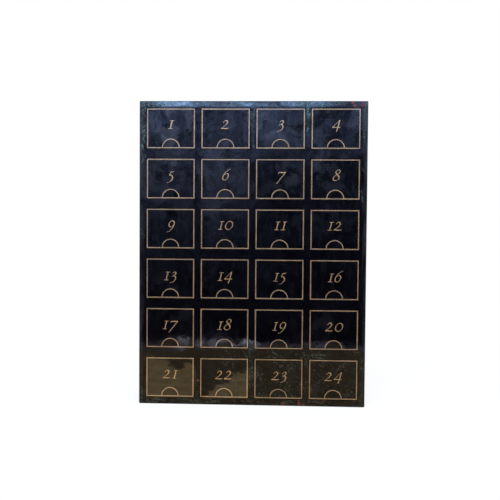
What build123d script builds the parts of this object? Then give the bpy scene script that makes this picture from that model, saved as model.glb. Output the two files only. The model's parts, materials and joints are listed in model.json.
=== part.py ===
"""Wooden advent calendar: a free-standing case of twenty-four cells, each holding a pull-out drawer.

Millimetres, +Z up, the origin in the middle of the base. The numbered face looks along -Y.
"""

from build123d import *

import os

# Cells
COLUMNS = 4
ROWS = 6
CELL_W = 65.25
CELL_H = 54.0

# Case boards
CASE_D = 90.0  # from the printed face to the rear edges
SIDE_T = 9.0  # left and right boards
END_T = 9.0  # top and bottom boards
UPRIGHT_T = 7.0
SHELF_T = 12.0
LAP_T = 4.5  # wood left outside the rebates for the end boards and the back panel
GROOVE = 3.0  # depth of the grooves that hold the ends of shelves and uprights
CORNER_R = 1.2  # rounding of the four long outer edges

# Printed face
FACE_T = 1.0
FACE_MARGIN = 0.5  # the sheet stops this far inside the outline of the case
FACE_EASE = 0.3

# Back panel, its pins and the brads in the corners
PANEL_T = 3.0
PANEL_SET = 1.0  # the panel lies this far inside the rear edges
PIN_D = 1.4
PIN_L = 14.0
PIN_HEAD_D = 3.0
PIN_HEAD_T = 0.7
BRAD_D = 1.2
BRAD_L = 16.0
BRAD_COVER = 1.0  # filler and paint over the outer end of a brad
BRADS_PER_CORNER = 3
NAIL_FIT = 0.05  # room round a pin or a brad in its hole

# Drawers
REVEAL = 0.4  # gap all round a drawer front
FRONT_T = 5.0
FRONT_EASE = 0.5
FLOOR_T = 3.0
WALL_T = 3.0
WALL_EASE = 0.4
HEADROOM = 8.0  # free height above the walls of a tray
TONGUE = 2.0  # depth to which a tray is let into its front
STOP_GAP = 0.3  # between a closed tray and the back panel
FINGERS = 5  # fingers in each rear corner of a tray
GLUE_GAP = 0.05  # room for glue at the sides of a tray's floor and in its finger joints
HOLE_R = 9.8
HOLE_DROP = 1.05  # from the tray floor down to the centre of the finger hole's arc
HOLE_EASE = 0.3

# Sizes that follow
PITCH_X = CELL_W + UPRIGHT_T
PITCH_Z = CELL_H + SHELF_T
CASE_W = COLUMNS * PITCH_X - UPRIGHT_T + 2 * SIDE_T
CASE_H = ROWS * PITCH_Z - SHELF_T + 2 * END_T
FACE_Y = -CASE_D / 2
BOARD_Y = FACE_Y + FACE_T
REAR_Y = CASE_D / 2
PANEL_REAR_Y = REAR_Y - PANEL_SET
PANEL_Y = PANEL_REAR_Y - PANEL_T
BOARD_D = REAR_Y - BOARD_Y
GRID_D = PANEL_Y - BOARD_Y
GRID_Y = (PANEL_Y + BOARD_Y) / 2
PANEL_W = CASE_W - 2 * LAP_T
PANEL_H = CASE_H - 2 * LAP_T
SIDE_LEDGE = SIDE_T - LAP_T
END_LEDGE = END_T - LAP_T
FRONT_W = CELL_W - 2 * REVEAL
FRONT_H = CELL_H - 2 * REVEAL
FRONT_REAR_Y = FACE_Y + FRONT_T
TRAY_Y = FRONT_REAR_Y - TONGUE
TRAY_REAR_Y = PANEL_Y - STOP_GAP
TRAY_L = TRAY_REAR_Y - TRAY_Y
TRAY_MID_Y = (TRAY_REAR_Y + TRAY_Y) / 2
TRAY_INNER_W = FRONT_W - 2 * WALL_T
WALL_H = CELL_H - FLOOR_T - HEADROOM
WALL_MID_Z = FLOOR_T + WALL_H / 2
FINGER_H = WALL_H / FINGERS

CELL_XS = [(column - (COLUMNS - 1) / 2) * PITCH_X for column in range(COLUMNS)]
CELL_FLOOR_ZS = [END_T + (ROWS - 1 - row) * PITCH_Z for row in range(ROWS)]
UPRIGHT_XS = [x + PITCH_X / 2 for x in CELL_XS[:-1]]
SHELF_ZS = [z - SHELF_T for z in CELL_FLOOR_ZS[:-1]]
SHELF_MID_ZS = [z + SHELF_T / 2 for z in SHELF_ZS]
FINGER_MID_ZS = [FLOOR_T + (finger + 0.5) * FINGER_H for finger in range(FINGERS)]


def upright_plane(y):
    """A plane that stands across the depth at y, drawn in X and Z and facing the front."""
    return Plane.XZ.offset(-y)


def write(shape, name):
    """Label a finished piece and write it to its own file."""
    shape.label = name
    export_step(shape, f"parts/{name}.step")


os.makedirs("parts", exist_ok=True)

# Panel pins: one behind each cell that lies along the edge of the case
pin_x = CASE_W / 2 - LAP_T - SIDE_LEDGE / 2
pin_z = CASE_H / 2 - LAP_T - END_LEDGE / 2
pin_spots = [(x, CASE_H / 2 + side * pin_z) for x in CELL_XS for side in (-1, 1)]
pin_spots += [(side * pin_x, z + CELL_H / 2) for z in CELL_FLOOR_ZS for side in (-1, 1)]

with BuildPart() as panel_pins:
    with BuildSketch(upright_plane(PANEL_REAR_Y)):
        with Locations(*pin_spots):
            Circle(PIN_D / 2)
    extrude(amount=PIN_L)
    with BuildSketch(upright_plane(PANEL_REAR_Y)):
        with Locations(*pin_spots):
            Circle(PIN_HEAD_D / 2)
    extrude(amount=-PIN_HEAD_T)

with BuildPart() as pin_holes:
    with BuildSketch(upright_plane(PANEL_REAR_Y)):
        with Locations(*pin_spots):
            Circle(PIN_D / 2 + NAIL_FIT)
    extrude(amount=PIN_L)

# Corner brads: driven through each lap into the end of a top or bottom board
brad_step = BOARD_D / BRADS_PER_CORNER
brad_ys = [BOARD_Y + (brad + 0.5) * brad_step for brad in range(BRADS_PER_CORNER)]
brad_spots = [(y, z) for y in brad_ys for z in (END_T / 2, CASE_H - END_T / 2)]
brad_head_x = CASE_W / 2 - BRAD_COVER

with BuildPart() as corner_brads:
    with BuildSketch(Plane.YZ.offset(brad_head_x), Plane.YZ.offset(-brad_head_x + BRAD_L)):
        with Locations(*brad_spots):
            Circle(BRAD_D / 2)
    extrude(amount=-BRAD_L)

with BuildPart() as brad_holes:
    with BuildSketch(Plane.YZ.offset(brad_head_x), Plane.YZ.offset(-brad_head_x + BRAD_L)):
        with Locations(*brad_spots):
            Circle(BRAD_D / 2 + NAIL_FIT)
    extrude(amount=-BRAD_L)

write(panel_pins.part, "panel_pins")
write(corner_brads.part, "corner_brads")

# Side boards: grooves for the shelves, rebates for the end boards and the back panel
for side, name in ((-1, "left_side"), (1, "right_side")):
    inner_x = side * (CASE_W / 2 - SIDE_T)
    ledge_x = inner_x + side * SIDE_LEDGE / 2
    with BuildPart() as side_board:
        with BuildSketch(upright_plane(BOARD_Y)):
            with Locations((inner_x + side * SIDE_T / 2, CASE_H / 2)):
                Rectangle(SIDE_T, CASE_H)
            with Locations(*[(inner_x + side * GROOVE / 2, z) for z in SHELF_MID_ZS]):
                Rectangle(GROOVE, SHELF_T, mode=Mode.SUBTRACT)
            with Locations((ledge_x, END_T / 2), (ledge_x, CASE_H - END_T / 2)):
                Rectangle(SIDE_LEDGE, END_T, mode=Mode.SUBTRACT)
        extrude(amount=-BOARD_D)
        with BuildSketch(upright_plane(PANEL_Y)):
            with Locations((ledge_x, CASE_H / 2)):
                Rectangle(SIDE_LEDGE, PANEL_H)
        extrude(amount=PANEL_Y - REAR_Y, mode=Mode.SUBTRACT)
        outer_edges = side_board.edges().filter_by(Axis.Y).sort_by(Axis.X, reverse=side > 0)[:2]
        fillet(outer_edges, CORNER_R)
        add(pin_holes.part, mode=Mode.SUBTRACT)
        add(brad_holes.part, mode=Mode.SUBTRACT)
    write(side_board.part, name)

# Top and bottom boards: grooves for the uprights, a rebate for the back panel
for side, name in ((-1, "bottom_board"), (1, "top_board")):
    inner_z = CASE_H / 2 + side * (CASE_H / 2 - END_T)
    with BuildPart() as end_board:
        with BuildSketch(upright_plane(BOARD_Y)):
            with Locations((0, inner_z + side * END_T / 2)):
                Rectangle(PANEL_W, END_T)
            with Locations(*[(x, inner_z + side * GROOVE / 2) for x in UPRIGHT_XS]):
                Rectangle(UPRIGHT_T, GROOVE, mode=Mode.SUBTRACT)
        extrude(amount=-BOARD_D)
        with BuildSketch(upright_plane(PANEL_Y)):
            with Locations((0, inner_z + side * END_LEDGE / 2)):
                Rectangle(PANEL_W, END_LEDGE)
        extrude(amount=PANEL_Y - REAR_Y, mode=Mode.SUBTRACT)
        add(pin_holes.part, mode=Mode.SUBTRACT)
        add(brad_holes.part, mode=Mode.SUBTRACT)
    write(end_board.part, name)

# Uprights: open slots in the front half take the shelves
for number, x in enumerate(UPRIGHT_XS, start=1):
    with BuildPart() as upright:
        with BuildSketch(Plane.YZ.offset(x - UPRIGHT_T / 2)):
            with Locations((GRID_Y, CASE_H / 2)):
                Rectangle(GRID_D, CASE_H - 2 * (END_T - GROOVE))
            with Locations(*[(GRID_Y - GRID_D / 4, z) for z in SHELF_MID_ZS]):
                Rectangle(GRID_D / 2, SHELF_T, mode=Mode.SUBTRACT)
        extrude(amount=UPRIGHT_T)
    write(upright.part, f"upright_{number}")

# Shelves: open slots in the rear half take the uprights
with BuildPart() as shelves:
    with BuildSketch(*[Plane.XY.offset(z) for z in SHELF_ZS]):
        with Locations((0, GRID_Y)):
            Rectangle(CASE_W - 2 * (SIDE_T - GROOVE), GRID_D)
        with Locations(*[(x, GRID_Y + GRID_D / 4) for x in UPRIGHT_XS]):
            Rectangle(UPRIGHT_T, GRID_D / 2, mode=Mode.SUBTRACT)
    extrude(amount=SHELF_T)
write(shelves.part, "shelves")

# Back panel
with BuildPart() as back_panel:
    with BuildSketch(upright_plane(PANEL_Y)):
        with Locations((0, CASE_H / 2)):
            Rectangle(PANEL_W, PANEL_H)
    extrude(amount=-PANEL_T)
    add(pin_holes.part, mode=Mode.SUBTRACT)
write(back_panel.part, "back_panel")

# Printed face: one sheet over the front edges of all the boards
with BuildPart() as printed_face:
    with BuildSketch(upright_plane(FACE_Y)):
        with Locations((0, CASE_H / 2)):
            RectangleRounded(CASE_W - 2 * FACE_MARGIN, CASE_H - 2 * FACE_MARGIN, CORNER_R - FACE_MARGIN)
            with GridLocations(PITCH_X, PITCH_Z, COLUMNS, ROWS):
                Rectangle(CELL_W, CELL_H, mode=Mode.SUBTRACT)
    extrude(amount=-FACE_T)
    chamfer(printed_face.faces().sort_by(Axis.Y)[0].outer_wire().edges(), FACE_EASE)
write(printed_face.part, "printed_face")

# One drawer, drawn in the middle of the case with the underside of its tray at Z = 0
with BuildPart() as drawer_front:
    with BuildSketch(upright_plane(FACE_Y)):
        with Locations((0, CELL_H / 2)):
            Rectangle(FRONT_W, FRONT_H)
    extrude(amount=-FRONT_T)
    chamfer(drawer_front.faces().sort_by(Axis.Y)[0].edges(), FRONT_EASE)
    with BuildSketch(upright_plane(FACE_Y)):
        with Locations((0, FLOOR_T - HOLE_DROP)):
            Circle(HOLE_R)
        with Locations((0, FLOOR_T)):
            Rectangle(2 * HOLE_R, HOLE_DROP + HOLE_R, align=(Align.CENTER, Align.MAX), mode=Mode.SUBTRACT)
    extrude(amount=-FRONT_T, mode=Mode.SUBTRACT)
    chamfer(drawer_front.faces().sort_by(Axis.Y)[0].inner_wires()[0].edges(), HOLE_EASE)
    with BuildSketch(upright_plane(FRONT_REAR_Y)):
        with Locations((0, (REVEAL + FLOOR_T) / 2)):
            Rectangle(FRONT_W, FLOOR_T - REVEAL)
        with Locations((0, WALL_MID_Z)):
            with GridLocations(TRAY_INNER_W + WALL_T, 0, 2, 1):
                Rectangle(WALL_T, WALL_H)
    extrude(amount=TONGUE, mode=Mode.SUBTRACT)

with BuildPart() as tray_floor:
    with BuildSketch(Plane.XY):
        with Locations((0, TRAY_MID_Y)):
            Rectangle(FRONT_W - 2 * GLUE_GAP, TRAY_L)
    extrude(amount=FLOOR_T)

with BuildPart() as tray_left_wall:
    with BuildSketch(Plane.YZ.offset(-FRONT_W / 2)):
        with Locations((TRAY_MID_Y, WALL_MID_Z)):
            Rectangle(TRAY_L, WALL_H)
        with Locations(*[(TRAY_REAR_Y - WALL_T / 2, z) for z in FINGER_MID_ZS[1::2]]):
            Rectangle(WALL_T, FINGER_H, mode=Mode.SUBTRACT)
    extrude(amount=WALL_T)
    chamfer(tray_left_wall.faces().sort_by(Axis.Z)[-1].edges().filter_by(Axis.Y), WALL_EASE)

with BuildPart() as tray_right_wall:
    mirror(tray_left_wall.part, about=Plane.YZ)

with BuildPart() as tray_back_wall:
    with BuildSketch(upright_plane(TRAY_REAR_Y)):
        with Locations((0, WALL_MID_Z)):
            Rectangle(TRAY_INNER_W - 2 * GLUE_GAP, WALL_H)
        with Locations(*[(0, z) for z in FINGER_MID_ZS[1::2]]):
            Rectangle(FRONT_W - 2 * GLUE_GAP, FINGER_H - 2 * GLUE_GAP)
    extrude(amount=WALL_T)
    chamfer(tray_back_wall.faces().sort_by(Axis.Z)[-1].edges().filter_by(Axis.X), WALL_EASE)

tray_boards = (tray_floor.part, tray_left_wall.part, tray_right_wall.part, tray_back_wall.part)

# The drawers, numbered in rows from the top left of the face
drawer_places = [Location((x, 0, z)) for z in CELL_FLOOR_ZS for x in CELL_XS]
for number, place in enumerate(drawer_places, start=1):
    write(drawer_front.part.moved(place), f"drawer_{number:02d}_front")
    tray = Compound([board.moved(place) for board in tray_boards])
    write(tray, f"drawer_{number:02d}_tray")
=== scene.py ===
"""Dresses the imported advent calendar: gold lines, numbers, evergreen print, finishes, stage and camera."""

import json
import math
import random

import bpy
from bpy.props import FloatProperty, FloatVectorProperty, IntProperty, PointerProperty
from mathutils import Euler, Matrix, Vector

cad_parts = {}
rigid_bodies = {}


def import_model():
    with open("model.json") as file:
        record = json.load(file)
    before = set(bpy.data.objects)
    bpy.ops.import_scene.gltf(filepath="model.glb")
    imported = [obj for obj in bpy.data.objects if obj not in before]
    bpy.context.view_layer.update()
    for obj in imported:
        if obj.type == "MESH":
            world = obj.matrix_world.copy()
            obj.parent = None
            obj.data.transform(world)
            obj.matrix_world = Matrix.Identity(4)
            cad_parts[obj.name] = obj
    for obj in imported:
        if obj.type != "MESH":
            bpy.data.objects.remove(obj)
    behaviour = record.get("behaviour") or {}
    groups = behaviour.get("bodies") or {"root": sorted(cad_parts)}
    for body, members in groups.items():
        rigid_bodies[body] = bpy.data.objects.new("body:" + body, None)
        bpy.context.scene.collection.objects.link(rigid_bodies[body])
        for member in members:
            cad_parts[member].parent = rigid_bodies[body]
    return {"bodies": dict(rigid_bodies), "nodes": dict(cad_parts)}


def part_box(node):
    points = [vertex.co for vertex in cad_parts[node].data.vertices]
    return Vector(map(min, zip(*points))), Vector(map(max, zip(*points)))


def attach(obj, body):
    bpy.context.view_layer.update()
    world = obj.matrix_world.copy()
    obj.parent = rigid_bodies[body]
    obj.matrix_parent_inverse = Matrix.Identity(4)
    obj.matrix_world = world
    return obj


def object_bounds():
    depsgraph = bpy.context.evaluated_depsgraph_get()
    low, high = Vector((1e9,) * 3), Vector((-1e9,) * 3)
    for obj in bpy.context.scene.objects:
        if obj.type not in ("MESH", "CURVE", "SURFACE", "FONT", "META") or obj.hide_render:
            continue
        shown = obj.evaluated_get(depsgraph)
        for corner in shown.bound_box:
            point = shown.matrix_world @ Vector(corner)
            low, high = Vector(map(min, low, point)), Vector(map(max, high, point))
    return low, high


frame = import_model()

bl_info = {
    "name": "Advent Calendar Cabinet",
    "version": (1, 0, 0),
    "blender": (4, 5, 0),
    "location": "View3D > Sidebar > Calendar",
    "description": "Gold lines, numbers, print and finishes for a wooden advent calendar with drawers",
    "category": "Object",
}

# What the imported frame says
CAD_BOX = [list(corner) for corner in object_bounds()]
DRAWERS = sorted(body for body in frame["bodies"] if body.startswith("drawer_"))
FRONTS = {drawer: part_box(drawer + "_front") for drawer in DRAWERS}
FACE_LOW, FACE_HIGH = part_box("printed_face")
TRAY_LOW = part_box(DRAWERS[0] + "_tray")[0]
FIRST_LOW, FIRST_HIGH = FRONTS[DRAWERS[0]]
COLUMN_XS = sorted({round((low.x + high.x) / 2, 5) for low, high in FRONTS.values()})
ROW_ZS = sorted({round(low.z, 5) for low, high in FRONTS.values()})
PITCH_X = COLUMN_XS[1] - COLUMN_XS[0]
PITCH_Z = ROW_ZS[1] - ROW_ZS[0]
FRONT_W = FIRST_HIGH.x - FIRST_LOW.x
FRONT_H = FIRST_HIGH.z - FIRST_LOW.z
FACE_Y = FACE_LOW.y
CASE_W = FACE_HIGH.x - FACE_LOW.x
CASE_H = CAD_BOX[1][2] - CAD_BOX[0][2]
SIDE_BAR_X = (CASE_W / 2 + COLUMN_XS[-1] + FRONT_W / 2) / 2
END_BAR_Z = ROW_ZS[0] / 2
TOP_BAR = CASE_H - FIRST_HIGH.z

CASE_BODY = "case"
CASE_BOARDS = ("left_side", "right_side", "top_board", "bottom_board")
INNER_BOARDS = ("upright_1", "upright_2", "upright_3", "shelves")
FASTENERS = ("panel_pins", "corner_brads")

# How fine the meshes are
MERGE_DISTANCE = 0.000001
SMOOTH_ANGLE = math.radians(60)
BEVEL_ANGLE = math.radians(50)
ARC_STEPS = 44
PEN_ROUNDNESS, PEN_STEPS = 2, 7
TAB_SIDES = 64
NEEDLE_SIDES = 6
BERRY_SIDES, BERRY_RINGS = 16, 8
FLOOR_SIDES = 128
PANEL_SIDES = 96

# Each digit is an advance width and its strokes, in parts of the height of the 1. A stroke is a list of
# points: across, up, and how hard the pen presses there. One that ends on its first point is a closed ring.
DIGITS = {
    "0": (0.97, [
        [(0.45, 0.99, 0.85), (0.17, 0.84, 0.85), (0.05, 0.50, 0.85), (0.17, 0.15, 0.85), (0.45, 0.01, 0.85),
         (0.73, 0.16, 0.85), (0.85, 0.50, 0.85), (0.73, 0.85, 0.85), (0.45, 0.99, 0.85)],
    ]),
    "1": (0.80, [
        [(0.32, 0.03, 1.0), (0.32, 0.97, 1.0)],
        [(0.08, 0.95, 0.5), (0.32, 0.965, 0.75), (0.56, 0.98, 0.5)],
        [(0.06, 0.03, 0.5), (0.32, 0.025, 0.75), (0.58, 0.02, 0.5)],
    ]),
    "2": (1.08, [
        [(0.10, 0.75, 0.9), (0.18, 0.92, 0.8), (0.37, 0.99, 0.9), (0.57, 0.83, 1.0), (0.51, 0.57, 1.0),
         (0.30, 0.31, 0.9), (0.03, 0.07, 0.8)],
        [(-0.02, 0.055, 0.9), (0.30, 0.06, 1.1), (0.60, 0.05, 1.15), (0.87, 0.08, 0.8)],
    ]),
    "3": (0.86, [
        [(0.09, 0.80, 0.8), (0.24, 0.97, 0.8), (0.45, 0.92, 0.9), (0.47, 0.72, 1.0), (0.25, 0.52, 0.8)],
        [(0.08, 0.42, 0.7), (0.25, 0.52, 0.8), (0.49, 0.45, 0.9), (0.59, 0.18, 1.0), (0.45, -0.14, 1.0),
         (0.05, -0.31, 0.7)],
    ]),
    "4": (1.02, [
        [(0.68, 1.08, 0.7), (0.36, 0.64, 0.55), (0.03, 0.22, 0.7)],
        [(0.02, 0.215, 1.35), (0.42, 0.215, 0.9), (0.93, 0.225, 1.0)],
        [(0.68, 1.08, 1.0), (0.67, 0.35, 1.05), (0.63, -0.30, 0.9)],
    ]),
    "5": (0.76, [
        [(0.17, 0.94, 1.0), (0.36, 0.95, 1.15), (0.54, 1.02, 0.7)],
        [(0.17, 0.95, 0.8), (0.08, 0.56, 0.8)],
        [(0.08, 0.56, 0.8), (0.33, 0.53, 0.9), (0.53, 0.30, 1.0), (0.46, -0.05, 1.0), (0.26, -0.26, 0.9),
         (0.03, -0.34, 0.6)],
    ]),
    "6": (0.86, [
        [(0.74, 1.33, 0.6), (0.44, 1.16, 0.75), (0.18, 0.82, 0.9), (0.05, 0.40, 0.9), (0.15, 0.09, 0.85),
         (0.34, 0.01, 0.8), (0.58, 0.16, 0.85), (0.67, 0.46, 0.85), (0.56, 0.74, 0.75), (0.36, 0.78, 0.7),
         (0.15, 0.60, 0.7)],
    ]),
    "7": (0.92, [
        [(0.06, 0.78, 0.6), (0.09, 0.95, 0.8)],
        [(0.09, 0.94, 1.0), (0.46, 0.93, 1.15), (0.86, 0.96, 0.9)],
        [(0.86, 0.96, 0.9), (0.50, 0.30, 1.05), (0.12, -0.41, 0.9)],
    ]),
    "8": (0.90, [
        [(0.40, 0.74, 1.1), (0.64, 0.52, 1.05), (0.73, 0.29, 0.9), (0.60, 0.07, 0.7), (0.37, 0.01, 0.7),
         (0.11, 0.14, 0.75), (0.08, 0.40, 0.75), (0.40, 0.72, 0.7), (0.61, 0.92, 0.75), (0.65, 1.13, 0.8),
         (0.49, 1.28, 0.75), (0.27, 1.21, 0.8), (0.19, 0.99, 0.95), (0.40, 0.74, 1.1)],
    ]),
    "9": (0.90, [
        [(0.62, 0.48, 0.7), (0.44, 0.30, 0.7), (0.24, 0.31, 0.8), (0.08, 0.53, 0.85), (0.14, 0.85, 0.85),
         (0.37, 1.0, 0.8), (0.61, 0.88, 0.85), (0.68, 0.58, 0.9), (0.58, 0.16, 0.9), (0.36, -0.18, 0.85),
         (0.03, -0.36, 0.7)],
    ]),
}

# How far the numbers of each row, from the top, hang below their common base line
ROW_NUMBER_DROPS = (-0.0009, 0.0002, -0.0007, 0.0010, 0.0002, 0.0002)

# How far some numbers are printed to the right of the middle of their drawer front
NUMBER_SHIFTS = {
    3: 0.0006, 8: 0.0006, 9: 0.0006, 11: 0.0008, 17: -0.0013, 18: -0.0008, 21: 0.0005, 23: 0.0013,
}

# How the needles of a twig vary: shares of their length and of the ink's height, degrees from the stem, and
# shares of the twig's length. Towards the tip they shorten by a share and close up by some degrees.
NEEDLE_LENGTHS = (0.75, 1.1)
NEEDLE_HEIGHTS = (0.6, 1.3)
NEEDLE_ANGLE, ANGLE_DRIFT = 50, 10
NEEDLE_DRIFT = 0.012
TIP_SHORTENING, TIP_CLOSING = 0.45, 26

# The upper side of a needle's ink, as a share of its lower side
NEEDLE_TAPER = (0.8, 1.0, 0.45)

# Where a stem starts and how long it is, as shares of the twig's length, and its share of the ink's height
STEM_START, STEM_LENGTH, STEM_HEIGHT = -0.03, 1.08, 1.4

# How many kinds of twig there are, their sizes, and how many degrees they turn from their thicket's lean
TWIG_KINDS = 4
TWIG_SIZES = (0.45, 0.8)
TWIG_TURN = 50

# A berry is a ball that is cut off at a share of its radius and pressed flat to some heights of ink
BERRY_CUT, BERRY_PRESS = 0.3, 2.4

# Waves in the gloss print: how many to a metre, how much detail, and how deep
GLOSS_WAVES = ((24.0, 2.0, 0.00032), (150.0, 2.0, 0.00003), (420.0, 1.0, 0.000008))

# The range of the slopes at which drawer fronts sit, across and up
FRONT_TIP = (0.022, 0.0, 0.018)

# Colours of the painted reflections on the gloss (sky, haze, side streaks, ground) and of the darkest
# needles
PAINTED_SKY_BLUE = (0.086, 0.136, 0.212, 1.0)
PAINTED_HAZE_GREY = (0.0165, 0.0172, 0.0240, 1.0)
PAINTED_STREAK_GREY = (0.016, 0.016, 0.019, 1.0)
PAINTED_GROUND_OLIVE = (0.044, 0.040, 0.028, 1.0)
DARK_NEEDLE = (0.004, 0.009, 0.009, 1.0)

# How strongly each finish reflects
GLOSS_LEVEL = 0.42
LACQUER_LEVEL = 0.16
PLYWOOD_LEVEL = 0.3
FIBREBOARD_LEVEL = 0.2
HARDBOARD_LEVEL = 0.35

# Roughness of the gloss, how strong the painted hazy reflection on the face and the fronts is, and how fine
# the pattern in each ink is
GLOSS_ROUGHNESS = (0.035, 0.07)
INK_ROUGHNESS = (0.04, 0.09)
FACE_HAZE_VEIL, FRONT_HAZE_VEIL = 0.45, 1.0
NEEDLE_PATTERN, BERRY_PATTERN = 330.0, 520.0

# The floor's drop below the base, the panel's height, middle and ends, and the camera's sensor in
# millimetres and nearest sight
FLOOR_DROP = 0.0003
PANEL_HEIGHT, PANEL_MIDDLE_Z, PANEL_END_Y = 3.4, 0.7, -0.1
SENSOR_WIDTH = 36.0
NEAREST_SEEN = 0.01

# Colours of the stage: surroundings, the floor to the camera, and the ground and haze that the gloss mirrors
WHITE = (1.0, 1.0, 1.0, 1.0)
SKY_TINT = (0.94, 0.97, 1.0, 1.0)
FLOOR_GREY = (0.9, 0.9, 0.9, 1.0)
GROUND_OLIVE = (0.44, 0.335, 0.165, 1.0)
LIT_GROUND = (1.80, 1.31, 0.65, 1.0)
DARK_RIM = (0.09, 0.09, 0.12, 1.0)
PALE_HAZE = (4.30, 4.35, 5.20, 1.0)

# Light of the panel that the gloss mirrors: height above the floor, and colour
PANEL_LIGHT = (
    (-0.40, (0.008, 0.008, 0.010)),
    (-0.20, (0.009, 0.008, 0.010)),
    (0.00, (0.028, 0.030, 0.045)),
    (0.21, (0.070, 0.086, 0.145)),
    (0.42, (0.275, 0.340, 0.570)),
    (0.545, (0.350, 0.450, 0.800)),
    (0.625, (0.630, 0.825, 1.520)),
    (0.80, (0.850, 1.150, 2.000)),
    (1.00, (1.500, 2.200, 3.800)),
    (1.35, (1.700, 2.500, 4.200)),
)

# Which part of each endless random pattern is used
CLOUD_SHIFT = (3.5, 2.4, -3.1)
TOP_BAR_SHIFT = (-5.2, -5.3, -3.5)
TIP_SHIFT = 35.0
HAZE_SHIFT = (0.3, 1.3, 3.3)

# Patches of lit floor that the gloss mirrors. Their sides fan out from a point behind the case. Each has
# three lines from that point, left to right: a slope, and how far the ragged end reaches ahead of the face.
FAN_X, FAN_DEPTH = 0.045, 1.006
LIT_PATCHES = (
    ((-0.1845, 0.37), (-0.1370, 0.235), (-0.1204, 0.33)),
    ((-0.1127, 0.02), (-0.0775, 0.15), (-0.0486, 0.23)),
)


# Values that a user may change

def length_value(name, description, default):
    return FloatProperty(name=name, description=description, default=default, unit="LENGTH", precision=5)


def angle_value(name, description, degrees):
    return FloatProperty(name=name, description=description, default=math.radians(degrees), subtype="ANGLE")


def power_value(name, description, default):
    return FloatProperty(name=name, description=description, default=default, unit="POWER")


def colour_value(name, description, default):
    return FloatVectorProperty(
        name=name, description=description, default=default, subtype="COLOR", min=0, max=1)


class CalendarGold(bpy.types.PropertyGroup):
    """Sizes and colours of the gold lines and numbers."""

    edge_margin: length_value("Edge margin", "From the drawer front's edge to the gold line", 0.00055)
    line_width: length_value("Line width", "Width of the gold line round a drawer front", 0.00138)
    arc_radius: length_value("Arc radius", "Inner radius of the half circle over a finger hole", 0.0104)
    arc_width: length_value("Arc width", "Width of the half circle's line", 0.00124)
    arc_rise: length_value(
        "Arc rise", "Height of the finger hole's centre above the drawer front's lower edge", 0.00155)
    foil_height: length_value("Foil height", "How far the gold stands out of the drawer front", 0.00009)
    foil_bevel: length_value("Foil bevel", "Bevel on the edges of the gold lines", 0.00004)
    number_height: length_value("Number height", "Height of the figure 1", 0.0111)
    pen_thin: length_value("Pen, thin", "Half width of a number's finest strokes", 0.00026)
    pen_broad: length_value("Pen, broad", "Half width of a number's broadest strokes", 0.00081)
    pen_angle: angle_value("Pen angle", "Direction in which the broad pen draws its finest strokes", 30)
    number_drop: length_value(
        "Number drop", "How far the numbers' base line lies below the drawer front's middle", 0.0015)
    number_slant: FloatProperty(
        name="Number slant", description="How far a number leans to the right for its height",
        default=0.25, subtype="FACTOR")
    line_colour: colour_value(
        "Gold of the lines", "Colour of the foil of the lines and half circles", (0.298, 0.190, 0.108))
    number_colour: colour_value(
        "Gold of the numbers", "Colour of the foil of the numbers, a little warmer", (0.352, 0.214, 0.103))


class CalendarTab(bpy.types.PropertyGroup):
    """Sizes of the half-moon tabs of printed paper that close the finger holes until they are pushed in."""

    radius: length_value("Tab radius", "Radius of the tab, a slit smaller than the finger hole", 0.00965)
    foot: length_value(
        "Tab foot", "Height of the tab's straight edge above the drawer front's lower edge", 0.0027)
    depth: length_value(
        "Tab depth", "How far the centre of the tab's arc lies behind the front's face", 0.00022)
    lean: angle_value("Tab lean", "How far the tab's free round edge springs out", 0.6)
    thickness: length_value("Tab thickness", "Thickness of the printed paper", 0.0005)
    crease: length_value("Tab crease", "Bevel round the tab's edge", 0.0001)


class CalendarPrint(bpy.types.PropertyGroup):
    """Sizes, amounts and colours of the evergreen print on the face."""

    twig_length: length_value("Twig length", "Length of one printed twig", 0.026)
    needle_length: length_value("Needle length", "Length of a needle at the foot of a twig", 0.0048)
    needle_width: length_value("Needle width", "Width of a needle at its middle", 0.00048)
    needle_pairs: IntProperty(name="Needle pairs", description="Pairs of needles on one twig", default=13)
    ink_height: length_value("Ink height", "How far the print stands out of the face", 0.00005)
    window_gap: length_value("Window gap", "Clear strip between the print and a drawer front", 0.0009)
    berry_diameter: length_value("Berry diameter", "Mean diameter of a berry", 0.0050)
    seed: IntProperty(name="Seed", description="Start of the random layout", default=24)
    needle_colour: colour_value("Evergreen", "Colour of the lighter needles", (0.056, 0.108, 0.118))
    low_colour: colour_value(
        "Olive", "Colour of the lighter needles along the foot of the case", (0.060, 0.074, 0.056))
    berry_colour: colour_value("Berry", "Main colour of the berries", (0.105, 0.026, 0.028))


class CalendarFinish(bpy.types.PropertyGroup):
    """Colours of the boards."""

    navy: colour_value("Navy", "Colour of the face and the drawer fronts", (0.0013, 0.0013, 0.0026))
    case_navy: colour_value("Case navy", "Colour of the sides, top and bottom", (0.0060, 0.0080, 0.0185))
    plywood: colour_value("Plywood", "Colour of the trays", (0.62, 0.43, 0.25))
    fibreboard: colour_value("Fibreboard", "Colour of the uprights and shelves", (0.33, 0.215, 0.12))
    hardboard: colour_value("Hardboard", "Colour of the back panel", (0.21, 0.115, 0.055))
    steel: colour_value("Steel", "Colour of the pins and brads", (0.56, 0.56, 0.58))


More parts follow.
